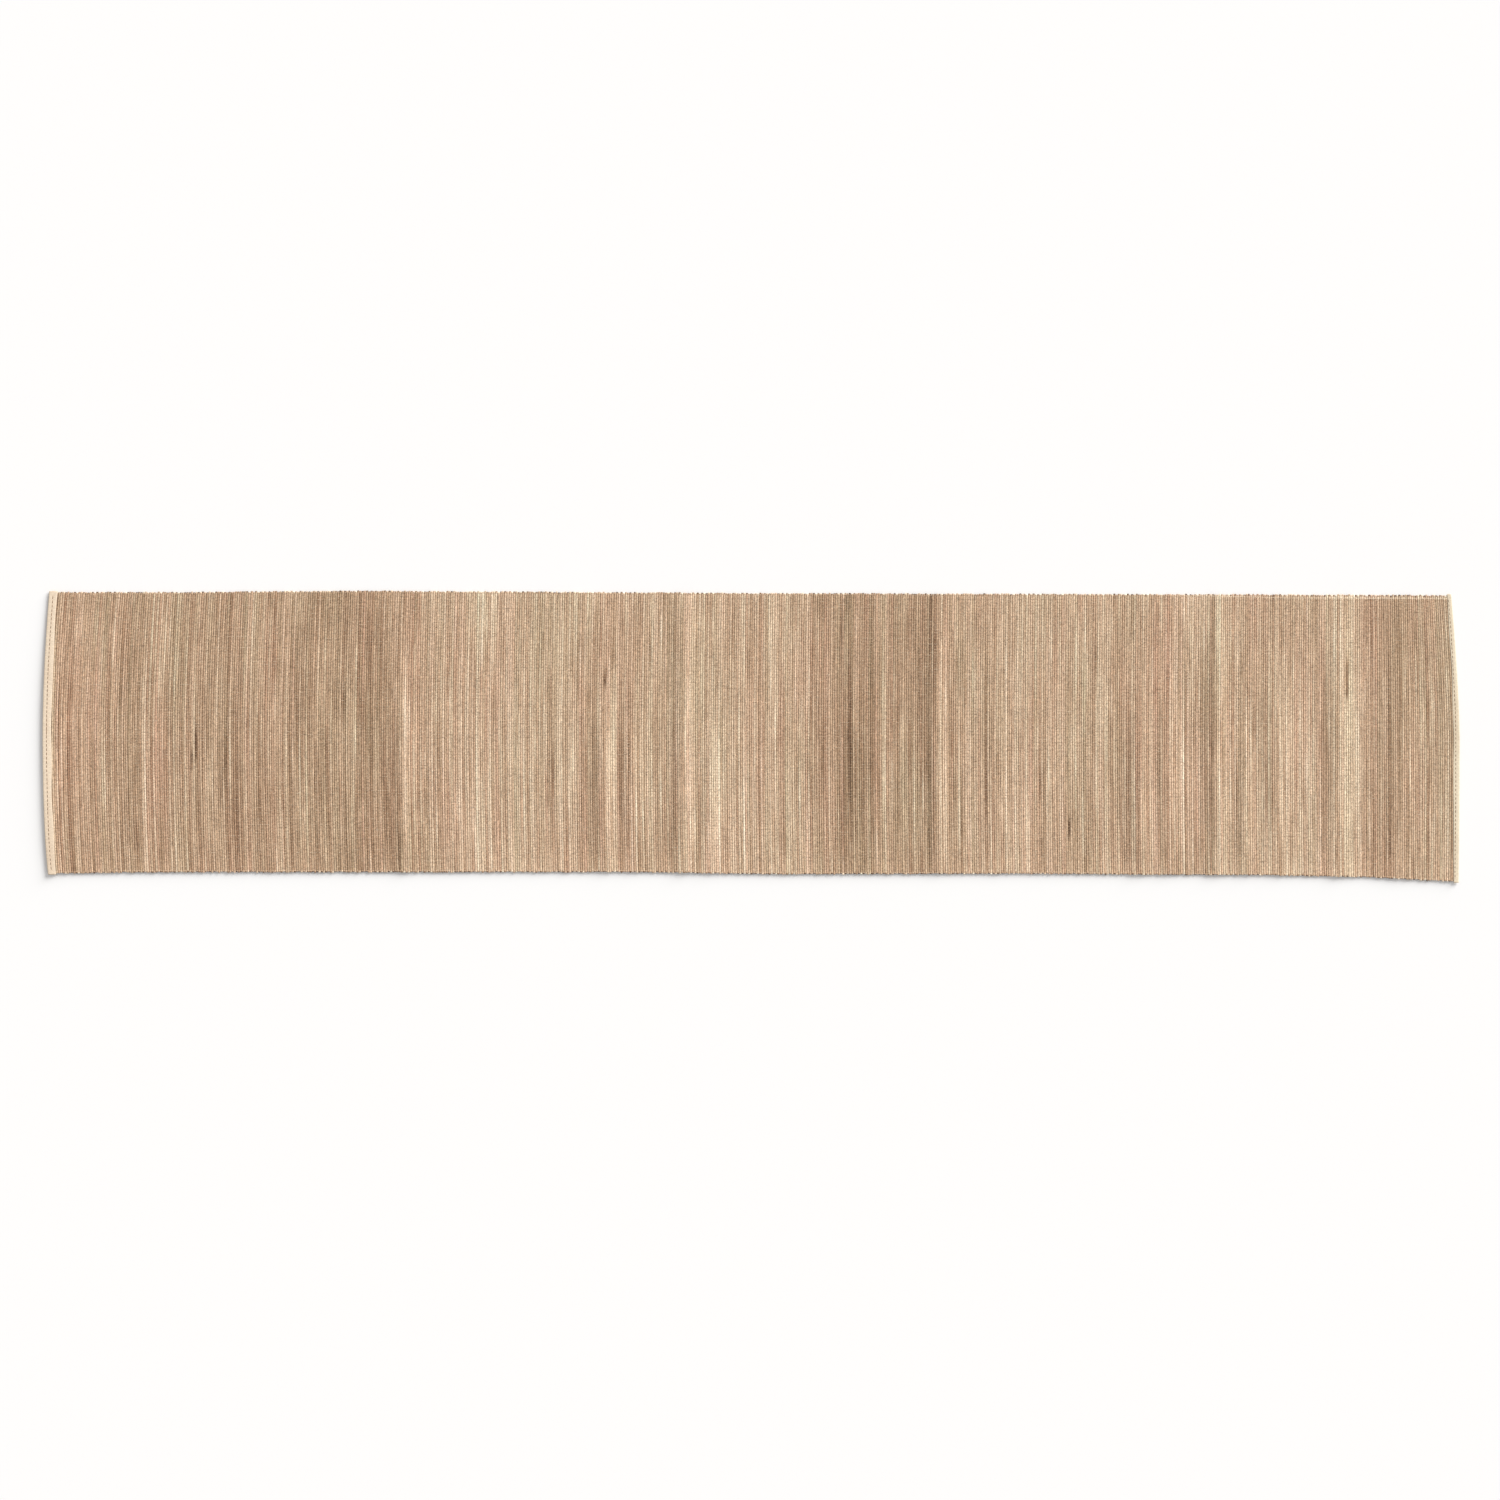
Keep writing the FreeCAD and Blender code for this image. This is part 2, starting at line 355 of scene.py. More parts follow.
class Mesh:
    """Collects tubes of rings and makes them one piece with a map, a colour and flat places."""

    def __init__(self):
        self.points = []
        self.flat = []
        self.colour = []
        self.faces = []
        self.maps = []
        self.count = 0

    def tubes(self, rings, colour, cells, turned=False, cap=0.01):
        """rings: tubes, rings, sides, xyz, in flat places. cells: each tube's part of the map."""
        tubes, steps, sides = rings.shape[:3]
        index = self.count + np.arange(tubes * steps * sides).reshape(tubes, steps, sides)
        flip = self.signed_volume(rings[0]) < 0
        for faces, side, down in (self.walls(rings, index, cap), *self.ends(index, cap)):
            low, high = cells[:, None, None, 0:2], cells[:, None, None, 2:4]
            spots = np.stack((down, side) if turned else (side, down), axis=-1)
            spots = (low + spots * (high - low)).reshape(-1, faces.shape[-1], 2)
            faces = faces.reshape(-1, faces.shape[-1])
            self.faces.append(faces[:, ::-1] if flip else faces)
            self.maps.append(spots[:, ::-1] if flip else spots)
        self.flat.append(rings.reshape(-1, 3))
        self.points.append(place(rings).reshape(-1, 3))
        self.colour.append(np.broadcast_to(colour, rings.shape).reshape(-1, 3))
        self.count += tubes * steps * sides

    @staticmethod
    def walls(rings, index, cap):
        """Quads between the rings, with their places round and down the tube, 0 to 1."""
        tubes, sides = rings.shape[0], rings.shape[2]
        beside = np.roll(index, -1, axis=2)
        quads = np.stack([index[:, :-1], beside[:, :-1], beside[:, 1:], index[:, 1:]], axis=-1)
        centres = rings.mean(axis=2)
        run = np.linalg.norm(np.diff(centres, axis=1), axis=2).mean(axis=0) + 0.3 * MM
        down = np.concatenate([[0], np.cumsum(run)])
        down = cap + (1 - 2 * cap) * down / down[-1]
        side = 0.04 + 0.92 * np.arange(sides + 1) / sides
        corner_side = np.stack([side[:-1], side[1:], side[1:], side[:-1]], axis=-1)
        corner_down = np.stack([down[:-1], down[:-1], down[1:], down[1:]], axis=-1)
        map_side = np.broadcast_to(corner_side[None, None], quads.shape)
        map_down = np.broadcast_to(corner_down[None, :, None], quads.shape)
        return [part.reshape(tubes, -1, 4) for part in (quads, map_side, map_down)]

    @staticmethod
    def ends(index, cap):
        """The two end faces of each tube, with their places on the map, 0 to 1."""
        tubes, _, sides = index.shape
        angle = 2 * math.pi * np.arange(sides) / sides
        side = np.broadcast_to(0.5 + 0.4 * np.cos(angle), (tubes, sides))
        down = np.broadcast_to(0.5 + 0.4 * np.sin(angle), (tubes, sides)) * cap
        first = (index[:, :1, ::-1], side[:, None, ::-1], down[:, None, ::-1])
        last = (index[:, -1:], side[:, None], 1 - down[:, None])
        return first, last

    @staticmethod
    def signed_volume(rings):
        """Above 0 when the faces of a tube, as they are made, look outwards."""
        first, beside = rings[:-1], np.roll(rings, -1, axis=1)[:-1]
        beyond = np.roll(rings, -1, axis=1)[1:]
        middle = rings.mean(axis=(0, 1))
        return float(np.sum((first - middle) * np.cross(beside - middle, beyond - middle)))

    def piece(self, name, material, slot):
        """The object, smooth-shaded, with its map for baking and its material slot."""
        points = np.concatenate(self.points)
        corners = np.concatenate([face.ravel() for face in self.faces]).astype(np.int32)
        sizes = np.concatenate([np.full(len(face), face.shape[1]) for face in self.faces])
        mesh = bpy.data.meshes.new(name)
        mesh.vertices.add(len(points))
        mesh.vertices.foreach_set("co", points.astype(np.float32).ravel())
        mesh.loops.add(len(corners))
        mesh.loops.foreach_set("vertex_index", corners)
        mesh.polygons.add(len(sizes))
        mesh.polygons.foreach_set("loop_start", (np.cumsum(sizes) - sizes).astype(np.int32))
        mesh.polygons.foreach_set("use_smooth", np.ones(len(sizes), bool))
        mesh.update(calc_edges=True)
        layer = mesh.uv_layers.new(name="OFBake")
        spots = np.concatenate([spot.reshape(-1, 2) for spot in self.maps])
        layer.data.foreach_set("uv", spots.astype(np.float32).ravel())
        colour = np.ones((len(points), 4), np.float32)
        colour[:, :3] = np.concatenate(self.colour)
        mesh.attributes.new("tone", "FLOAT_COLOR", "POINT").data.foreach_set(
            "color", colour.ravel())
        flat = np.concatenate(self.flat).astype(np.float32)
        mesh.attributes.new("flat", "FLOAT_VECTOR", "POINT").data.foreach_set(
            "vector", flat.ravel())
        mesh.materials.append(material)
        made = bpy.data.objects.new(name, mesh)
        bpy.context.scene.collection.objects.link(made)
        return made


class Look:
    """A material's nodes, added one after another."""

    def __init__(self, name):
        self.material = bpy.data.materials.new(name)
        self.material.use_nodes = True
        self.tree = self.material.node_tree
        self.surface = self.tree.nodes["Principled BSDF"]

    def add(self, kind, links=(), **settings):
        """A node with its settings, its inputs linked or set by name or number."""
        node = self.tree.nodes.new(kind)
        for key, value in settings.items():
            setattr(node, key, value)
        for key, value in dict(links).items():
            self.join(value, node.inputs[key])
        return node

    def join(self, value, socket):
        """Links a socket to the socket, or sets its value."""
        if isinstance(value, bpy.types.NodeSocket):
            self.tree.links.new(value, socket)
        else:
            socket.default_value = value

    def attribute(self, name, output):
        """A value that the mesh holds at each point."""
        return self.add("ShaderNodeAttribute", attribute_name=name).outputs[output]

    def noise(self, scale, detail=3.0, rough=0.6, shift=0.0):
        """Noise on the flat runner, finer on the axes where the scale is higher, per metre."""
        flat = self.attribute("flat", "Vector")
        at = self.add("ShaderNodeMapping", {"Vector": flat, "Scale": scale,
                                            "Location": (shift, shift * 0.7, shift * 0.3)})
        made = self.add("ShaderNodeTexNoise", {"Vector": at.outputs[0], "Scale": 1.0,
                                               "Detail": detail, "Roughness": rough})
        return made.outputs[0]

    def spread(self, value, low, high, to_low, to_high):
        """The value's range from low to high, spread over another range and held inside it."""
        made = self.add("ShaderNodeMapRange", {0: value, 1: low, 2: high, 3: to_low, 4: to_high})
        return made.outputs[0]

    def mixed(self, kind, share, colour, other):
        """Two colours, mixed by a share."""
        made = self.add("ShaderNodeMix", {0: share, 6: colour, 7: other}, data_type="RGBA",
                        blend_type=kind)
        return made.outputs[2]

    def finish(self, colour, roughness, height, depth, specular=0.3):
        """Sets the surface's colour, roughness and relief, and gives the material."""
        self.join(colour, self.surface.inputs["Base Color"])
        self.join(roughness, self.surface.inputs["Roughness"])
        self.join(specular, self.surface.inputs["Specular IOR Level"])
        bump = self.add("ShaderNodeBump", {"Height": height, "Strength": 0.6, "Distance": depth})
        self.join(bump.outputs[0], self.surface.inputs["Normal"])
        return self.material


def fibre_look():
    """Dry plant fibre: fine lines along each rib, thin dark and pale streaks and small flecks."""
    look = Look("plant_fibre")
    colour = look.attribute("tone", "Color")
    fine = look.noise((2400, 90, 2400), 4.0, 0.7)
    lines = look.spread(fine, 0.3, 0.7, 0.74, 1.26)
    colour = look.mixed("MULTIPLY", 1.0, colour, lines)
    strand = look.spread(look.noise((900, 30, 900), 2.0, 0.6, 5.0), 0.3, 0.7, 0.84, 1.16)
    colour = look.mixed("MULTIPLY", 1.0, colour, strand)
    speckle = look.spread(look.noise((560, 420, 560), 2.0, 0.7, 3.0), 0.3, 0.7, 0.64, 1.36)
    colour = look.mixed("MULTIPLY", 1.0, colour, speckle)
    dark = look.spread(look.noise((1300, 30, 900), 2.0, 0.5, 7.0), 0.62, 0.7, 0.0, 0.5)
    colour = look.mixed("MULTIPLY", dark, colour, (0.42, 0.33, 0.27, 1.0))
    pale = look.spread(look.noise((1200, 26, 900), 2.0, 0.5, 13.0), 0.63, 0.72, 0.0, 0.45)
    colour = look.mixed("MIX", pale, colour, (*linear(232, 210, 182), 1.0))
    fleck = look.spread(look.noise((700, 160, 700), 2.0, 0.5, 19.0), 0.71, 0.75, 0.0, 0.6)
    colour = look.mixed("MULTIPLY", fleck, colour, (0.35, 0.25, 0.18, 1.0))
    roughness = look.spread(fine, 0.3, 0.7, 0.72, 0.5)
    return look.finish(colour, roughness, fine, 0.25 * MM)


def thread_look(name, across, along_it, contrast, roughness):
    """Spun thread: slanting plies across its run, with a little unevenness of colour."""
    look = Look(name)
    colour = look.attribute("tone", "Color")
    plies = look.noise((across, along_it, across), 2.0, 0.5, 2.0)
    shade = look.spread(plies, 0.35, 0.65, 1 - contrast, 1 + 0.6 * contrast)
    colour = look.mixed("MULTIPLY", 1.0, colour, shade)
    return look.finish(colour, look.spread(plies, 0.3, 0.7, roughness + 0.1, roughness),
                       plies, 0.12 * MM)


def tape_look():
    """Cotton tape: a fine plain weave, a few slubs, and its own uneven straw colour."""
    look = Look("cotton_tape")
    colour = look.attribute("tone", "Color")
    flat = look.attribute("flat", "Vector")
    threads = []
    for direction in ("X", "Y"):
        wave = look.add("ShaderNodeTexWave", {"Vector": flat, "Scale": 420.0, "Distortion": 1.2,
                                              "Detail": 1.0, "Detail Scale": 2.0},
                        bands_direction=direction)
        threads.append(wave.outputs[1])
    weave = look.add("ShaderNodeMath", {0: threads[0], 1: threads[1]}, operation="MULTIPLY")
    weave = weave.outputs[0]
    colour = look.mixed("MULTIPLY", 1.0, colour, look.spread(weave, 0.0, 0.8, 0.8, 1.08))
    slubs = look.spread(look.noise((260, 900, 260), 3.0, 0.6, 5.0), 0.3, 0.7, 0.86, 1.1)
    colour = look.mixed("MULTIPLY", 1.0, colour, slubs)
    roughness = look.spread(weave, 0.0, 0.8, 0.92, 0.78)
    return look.finish(colour, roughness, weave, 0.12 * MM, 0.2)


def floor_look():
    """A plain pale table."""
    look = Look("pale_table")
    look.tree.nodes.remove(look.surface)
    look.surface = look.add("ShaderNodeBsdfPrincipled", {"Roughness": 0.9})
    output = look.tree.nodes["Material Output"]
    look.tree.links.new(look.surface.outputs[0], output.inputs[0])
    look.join(TABLE_COLOUR, look.surface.inputs["Base Color"])
    look.join(0.1, look.surface.inputs["Specular IOR Level"])
    return look.material


def follow(piece, x_low, x_high):
    """The piece rides on the body under it; one that crosses a fold axis is only fixed in place,
    and the bodies on both sides of that axis are given back.
    """
    crossed = [x for x in AXES if x_low < x < x_high]
    left = sum(x <= x_low for x in AXES)
    if not crossed:
        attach(piece, BODIES[left])
        return [BODIES[left]]
    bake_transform(piece)
    return BODIES[left:left + 2]


def cuts(parts):
    """Numbers of ribs at the sections' ends: fold strips are cut in the middle, the rest evenly."""
    middles = [(AXES[0] + AXES[1]) / 2, 0.0, (AXES[4] + AXES[5]) / 2]
    breaks = [0, *(round(x / RIB_PITCH) + RIB_COUNT // 2 for x in middles), RIB_COUNT]
    edges = [np.linspace(low, high, parts + 1).round() for low, high in zip(breaks, breaks[1:])]
    return sorted({int(edge) for span in edges for edge in span})


def rib_x(number):
    """Where the side between two ribs is, counted from the left end."""
    return (number - RIB_COUNT / 2) * RIB_PITCH


def rib_heights():
    """Half height of each rib: those inside a binding are pressed thin."""
    heights = RIB_HALF_HEIGHT * (1 + 0.05 * np.clip(rng.normal(size=RIB_COUNT), -1.5, 1.5))
    heights[:BOUND_RIBS["left"]] = BOUND_HALF_HEIGHT
    heights[-BOUND_RIBS["right"]:] = BOUND_HALF_HEIGHT
    return heights


def rib_tones(where):
    """Tone of each rib at each step along it, in steps lighter or darker than the mean.

    It holds painted shade and light on the ripples, and painted shade at the rib ends.
    """
    centres = rib_x(np.arange(RIB_COUNT) + 0.5)
    tone = BAND_TONE * along(ZONES, centres)[:, None]
    tone = tone + RIB_TONE * rng.normal(size=(RIB_COUNT, 1))
    y = (2 * where[None, :] - 1) * HALF_WIDTH
    # Painted shade and light: darker where a ripple rises to the right, away from the light, paler
    # where it falls
    rise = lift(centres[:, None] + MM, y) - lift(centres[:, None] - MM, y)
    tone = tone - RIPPLE_PAINTED_SHADE * rise / (2 * MM)
    tone = tone + SLOW_TONE * wander(RIB_COUNT, 4, where)
    tone = tone + QUICK_TONE * wander(RIB_COUNT, 12, where)
    tone = tone + SHARED_TONE * soften(wander(RIB_COUNT, 4, where), 3)
    streak = wander(RIB_COUNT, 8, where)
    tone = tone + PALE_STREAK * np.clip(streak - PALE_START, 0, 1.1)
    tone = tone - DARK_STREAK * np.clip(-streak - DARK_START, 0, 1.0)
    ends = np.array(RIB_END_TONES)
    by_turns = np.where(np.arange(RIB_COUNT) % 2, 1.0, -1.0)
    # The ends' darkening on the whole is painted shade between the cut ends
    pattern = by_turns + END_UNEVEN * rng.normal(size=(2, RIB_COUNT)) - END_PAINTED_SHADE
    tone[:, :len(ends)] += pattern[0][:, None] * ends
    tone[:, -len(ends):] += pattern[1][:, None] * ends[::-1]
    fade = np.clip((centres - LIGHT_LINE_START) / LIGHT_LINE_FADE, 0, 1)
    tone[:, -len(ends) - 1] += LIGHT_LINE_TONE * fade
    return tone


def darken_knots(tone, size, y):
    """Marks the short dark knots on the ribs nearest them."""
    for x, middle, reach in KNOTS:
        rib = int(x * MM / RIB_PITCH + RIB_COUNT / 2)
        near = np.exp(-0.5 * ((y[rib] / MM - middle) / reach) ** 2)
        tone[rib] -= KNOT_TONE * near
        size[rib] += KNOT_SWELL * near


def rib_steps():
    """Shares of a rib's length where it has a ring, and the ring's size there."""
    ends = np.array(RIB_END_STEPS) / (2 * HALF_WIDTH)
    inner = np.linspace(ends[-1], 1 - ends[-1], RIB_STEPS)[1:-1]
    sizes = np.ones(RIB_STEPS - 2)
    shares = np.concatenate([ends, inner, 1 - ends[::-1]])
    return shares, np.concatenate([RIB_END_SIZES, sizes, RIB_END_SIZES[::-1]])


def rib_section(shares):
    """Offsets round each rib, as shares of its half width and of its half height."""
    angle = 2 * math.pi * np.arange(RIB_SIDES) / RIB_SIDES
    square = np.sign(np.cos(angle)) * np.abs(np.cos(angle)) ** 0.85
    flatter = np.sign(np.sin(angle)) * np.abs(np.sin(angle)) ** 0.7
    lobes = rng.integers(2, 5, size=(RIB_COUNT, 1, 1))
    turn = rng.uniform(0, 6.28, size=(RIB_COUNT, 1, 1))
    turn = turn + 1.2 * wander(RIB_COUNT, 5, shares)[..., None]
    return square, flatter * (1 + LOBE_DEPTH * np.cos(lobes * angle + turn))


def rib_colours(tone, shares):
    """Colour round each rib at each step: its strands differ a little, and so does its blush."""
    strands = soften(rng.normal(size=(RIB_SIDES, RIB_COUNT)), 0.6).T[:, None, :]
    drift = np.roll(strands, 1, axis=2) * np.sin(5 * shares)[None, :, None]
    blush = RIB_BLUSH * rng.normal(size=(RIB_COUNT, 1))
    blush = blush + SLOW_BLUSH * wander(RIB_COUNT, 5, shares)
    blush = blush + SHARED_BLUSH * soften(wander(RIB_COUNT, 4, shares), 4)
    beside = (rib_x(np.arange(RIB_COUNT)) / MM - WARM_X) / WARM_REACH
    blush = blush + WARM_BLUSH * np.exp(-0.5 * beside**2)[:, None]
    every = tone[..., None] + STRAND_TONE * (strands + drift)
    return fibre_colour(every, np.broadcast_to(blush[..., None], every.shape))


def make_ribs():
    """Rings and colours of every rib, flat."""
    shares, sizes = rib_steps()
    sides = rib_x(np.arange(RIB_COUNT + 1))[:, None]
    sides = sides + RIB_WANDER * (0.55 * rng.normal(size=(RIB_COUNT + 1, 1)).clip(-1.6, 1.6)
                                  + 0.6 * wander(RIB_COUNT + 1, 8, shares).clip(-1.6, 1.6))
    space = RIB_SPACE * rng.uniform(0.3, 1.4, size=(RIB_COUNT, 1))
    left, right = sides[:-1] + space / 2, sides[1:] - space / 2
    ends = HALF_WIDTH + RIB_END_WANDER * rng.uniform(-1.2, 1.0, size=(2, RIB_COUNT, 1))
    y = -ends[0] + (ends[0] + ends[1]) * shares
    tone = rib_tones(shares)
    size = sizes[None, :] * (1 + 0.03 * wander(RIB_COUNT, 9, shares))
    darken_knots(tone, size, y)
    path = np.stack([(left + right) / 2, y, np.zeros_like(y)], axis=-1)
    wide, high = rib_section(shares)
    rings = np.repeat(path[:, :, None, :], RIB_SIDES, axis=2)
    half = np.clip((right - left) / 2, 0, None)
    rings[..., 0] += (half * size)[..., None] * wide
    rings[..., 2] += (rib_heights()[:, None] * size)[..., None] * high
    return rings, rib_colours(tone, shares)


def thread_y(rows, x):
    """Places across the runner of long threads, each a little off its straight row."""
    rows = np.asarray(rows)[:, None]
    sway = np.sin(x / 0.061 + rows * 977) + np.sin(x / 0.023 + rows * 613)
    return rows + 0.1 * MM * sway


def warp_rows():
    """Rows of warp threads between the frame's outermost two."""
    outer = WARP_BOX[1].y - 0.3 * MM
    count = round(2 * outer / WARP_PITCH) + 1
    return np.linspace(-outer, outer, count)


def warp_path(first, last, rows):
    """Upper warp threads from one rib side to another: flat over each rib, low in each gap."""
    numbers = np.arange(first, last)
    gaps = rib_x(np.arange(first, last + 1))
    middles = rib_x(numbers + 0.5)
    x = np.empty(3 * len(numbers) + 1)
    x[0::3], x[1::3], x[2::3] = gaps, middles - WARP_LAND, middles + WARP_LAND
    bound = (numbers < BOUND_RIBS["left"]) | (numbers >= RIB_COUNT - BOUND_RIBS["right"])
    crest = np.where(bound, BOUND_HALF_HEIGHT + 0.06 * MM, WARP_CREST)
    z = np.full(len(x), WARP_DIP)
    z[1::3], z[2::3] = crest, crest
    y = thread_y(rows, x[None, :])
    y[:, 0::3] += WARP_TWIST * (-1.0) ** np.arange(first, last + 1)
    return np.stack(np.broadcast_arrays(x[None, :], y, z[None, :]), axis=-1)


def turned_under(rings, centre_y):
    """The same tubes turned half a turn about lines along X in the middle plane."""
    under = rings.copy()
    under[..., 1] = 2 * centre_y - rings[..., 1]
    under[..., 2] = -rings[..., 2]
    return under


def cells_in_rows(count, low=0.0, high=1.0):
    """Parts of the map, one under another."""
    edges = np.linspace(low, high, count + 1)
    return np.stack([np.zeros(count), edges[:-1], np.ones(count), edges[1:]], axis=-1)


def cells_in_columns(count, low=0.0, high=1.0):
    """Parts of the map, side by side."""
    edges = np.linspace(0, 1, count + 1)
    return np.stack([edges[:-1], np.full(count, low), edges[1:], np.full(count, high)], axis=-1)


def make_warps(first, last, name, material):
    """The warp threads of one section, over and under its ribs."""
    rows = warp_rows()
    path = warp_path(first, last, rows)
    size = np.ones(path.shape[:-1])
    rings = around(path, WARP_HALF_WIDTH * size, WARP_HALF_HEIGHT * size, 3, 1, -math.pi / 6)
    ticks = np.repeat(rng.normal(size=(len(rows), last - first + 1)), 3, axis=1)[:, 1:-1]
    tone = WARP_TONE + WARP_ROW_TONE * np.sin(rows * 7919)[:, None] + WARP_TICK_TONE * ticks
    colour = fibre_colour(tone, np.zeros_like(tone))[:, :, None, :]
    made = Mesh()
    made.tubes(rings, colour, cells_in_rows(len(rows), 0.0, 0.5), True, 0.004)
    under = turned_under(rings, rows[:, None, None])
    made.tubes(under, colour, cells_in_rows(len(rows), 0.5, 1.0), True, 0.004)
    return made.piece(name, material, "warp_thread")


def cord_y(side, x):
    """Where a selvedge cord runs. The back one draws in towards the right end."""
    inward = CORD_INWARD * np.clip((x - CORD_INWARD_START) / CORD_INWARD_FADE, 0, 1) * (side > 0)
    sway = 0.15 * MM * (np.sin(x / 0.047 + side) + np.sin(x / 0.019))
    return side * (CORD_Y - inward) + sway


def make_cord(side, first, last, name, material):
    """A selvedge's two cords, each of two plies twisted together, over and under the ribs."""
    x = rib_x(np.linspace(first, last, CORD_STEPS_PER_RIB * (last - first) + 1))
    wave = np.cos(2 * math.pi * (x / RIB_PITCH - 0.5))
    height = (CORD_CREST + CORD_DIP) / 2 + (CORD_CREST - CORD_DIP) / 2 * wave
    left, right = rib_x(BOUND_RIBS["left"] + 0.6), rib_x(RIB_COUNT - BOUND_RIBS["right"] - 0.6)
    height = np.where((x < left) | (x > right), CORD_BOUND, height)
    centre = cord_y(side, x)
    lit = CORD_LIT_TONE * np.clip((x - CORD_LIT_START) / CORD_LIT_FADE, 0, 1) if side > 0 else 0.0
    made = Mesh()
    for ply in (0, 1):
        angle = math.pi * (x / RIB_PITCH + ply)
        y = centre + CORD_TWIST_WIDE * np.cos(angle)
        path = np.stack([x, y, height + CORD_TWIST_HIGH * np.sin(angle)], axis=-1)[None]
        size = np.ones(path.shape[:-1])
        rings = around(path, 1.15 * CORD_PLY * size, 0.7 * CORD_PLY * size, 6, 1)
        for under in (0, 1):
            if under:
                rings = turned_under(rings, centre[None, :, None])
            tone = CORD_TONE + lit + 0.4 * ply + 0.6 * np.sin(x / 0.031 + 2 * ply)
            colour = fibre_colour(tone, np.zeros_like(tone))[None, :, None, :]
            cell = cells_in_rows(4)[2 * ply + under:][:1]
            made.tubes(rings, colour, cell, True, 0.004)
    return made.piece(name, material, "selvedge_cord")


def tape_profile(wide):
    """A binding's section, as offsets from the end and from the middle plane, all round it."""
    half = TAPE_THICKNESS / 2
    top = TAPE_TOP - half
    middle = [(wide, top - 0.1 * MM), (wide - 0.7 * MM, top), (wide * 0.75, top),
              (wide * 0.5, top), (wide * 0.3, top), (1.2 * MM, top - 0.04 * MM),
              (0.5 * MM, 0.78 * top), (0.16 * MM, 0.4 * top), (0.1 * MM, 0.0)]
    line = np.array(middle + [(x, -z) for x, z in reversed(middle[:-1])])
    run = np.gradient(line, axis=0)
    run /= np.linalg.norm(run, axis=1)[:, None]
    normal = np.stack([run[:, 1], -run[:, 0]], axis=-1)
    return np.concatenate([line + half * normal, (line - half * normal)[::-1]])


def seam_x(side):
    """Where a binding's seam runs."""
    low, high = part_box(side + "_needle_thread")
    return (low.x + high.x) / 2


def make_tape(side, material):
    """A binding: one strip of tape round the cut end, dimpled at each stitch, with painted shade in
    each dimple.
    """
    low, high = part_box(side + "_binding")
    wide, sign = high.x - low.x, 1 if side == "left" else -1
    reach = HALF_WIDTH + TAPE_PROUD
    steps = int(2 * reach / (STITCH_PITCH / 6))
    y = np.linspace(-reach, reach, steps)
    share = np.linspace(0, 1, steps)
    widths = wide + 0.5 * MM * wander(1, 9, share)[0] - 1.6 * MM * np.clip(share - 0.6, 0, 1)
    profile = np.stack([tape_profile(width) for width in widths])
    rings = np.empty((1, steps, profile.shape[1], 3))
    rings[0, :, :, 0] = sign * (-HALF_LENGTH + profile[..., 0])
    rings[0, :, :, 1] = y[:, None]
    rings[0, :, :, 2] = profile[..., 1]
    seam = np.abs(rings[0, :, :, 0] - seam_x(side))
    phase = np.cos(2 * math.pi * y / STITCH_PITCH)[:, None]
    dimple = np.exp(-0.5 * (seam / (0.9 * MM)) ** 2) * (0.35 + 0.65 * np.clip(-phase, 0, 1))
    rings[0, :, :, 2] *= 1 - DIMPLE_DEPTH * dimple
    puff = PUFF * wander(profile.shape[1], 40, share).T
    rings[0, :, :, 2] *= 1 + puff * (np.abs(profile[..., 1]) > 0.5 * MM)
    tone = TAPE_TONES[side] + TAPE_UNEVEN * wander(1, 12, share)[0][:, None]
    # Painted shade: the tape is darker in each dimple at a stitch
    tone = tone - DIMPLE_PAINTED_SHADE * np.exp(-0.5 * (seam / (0.7 * MM)) ** 2) * np.clip(-phase, 0, 1)
    colour = fibre_colour(tone, np.full_like(tone, TAPE_BLUSHES[side]))[None]
    made = Mesh()
    made.tubes(rings, colour, cells_in_columns(1))
    return made.piece(side + "_tape", material, "binding_tape")


def make_seam(side, under, name, material):
    """One thread of a seam, on the tape between the needle holes and sunk at each of them."""
    low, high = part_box(side + "_needle_thread")
    count = round((high.y - low.y) / STITCH_PITCH)
    steps = count * STITCH_STEPS + 1
    y = np.linspace(-count / 2, count / 2, steps) * STITCH_PITCH
    wave = np.cos(2 * math.pi * y / STITCH_PITCH)
    x = seam_x(side) + 0.12 * MM * np.sin(y / 0.017) + 0.06 * MM * np.sin(y / 0.005)
    z = TAPE_TOP - 0.14 * MM + SEAM_WAVE * wave
    if under:
        z = -(TAPE_TOP - 0.2 * MM + 0.6 * SEAM_WAVE * wave)
    path = np.stack([x, y, z], axis=-1)[None]
    size = np.ones(path.shape[:-1])
    wide = SEAM_SPREAD["bobbin" if under else "needle"] * SEAM_RADIUS
    rings = around(path, wide * size, SEAM_RADIUS * size, 6, 0)
    tone = SEAM_TONE + 0.4 * np.sin(y / 0.011)
    colour = fibre_colour(tone, np.full_like(tone, SEAM_BLUSH))[None, :, None, :]
    made = Mesh()
    made.tubes(rings, colour, cells_in_columns(1), False, 0.004)
    return made.piece(name, material, "seam_thread")


def make_weave(material, warp_material):
    """Ribs and warps, section by section."""
    rings, colour = make_ribs()
    edges = cuts(3)
    made = []
    for number, (first, last) in enumerate(zip(edges, edges[1:]), 1):
        ribs = Mesh()
        part = slice(first, last)
        ribs.tubes(rings[part], colour[part], cells_in_columns(last - first), False, 0.008)
        weave = ribs.piece(f"weave_{number:02d}", material, "fibre_rib")
        warps = make_warps(first, last, f"warp_{number:02d}", warp_material)
        low, high = rib_x(first), rib_x(last)
        bodies = follow(weave, low, high)
        follow(warps, low, high)
        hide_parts(*(body + "_ribs" for body in bodies))
        layers = [body + layer for body in bodies for layer in ("_warp_upper", "_warp_lower")]
        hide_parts(*layers)
        made.append((weave, warps, low, high))
    return made


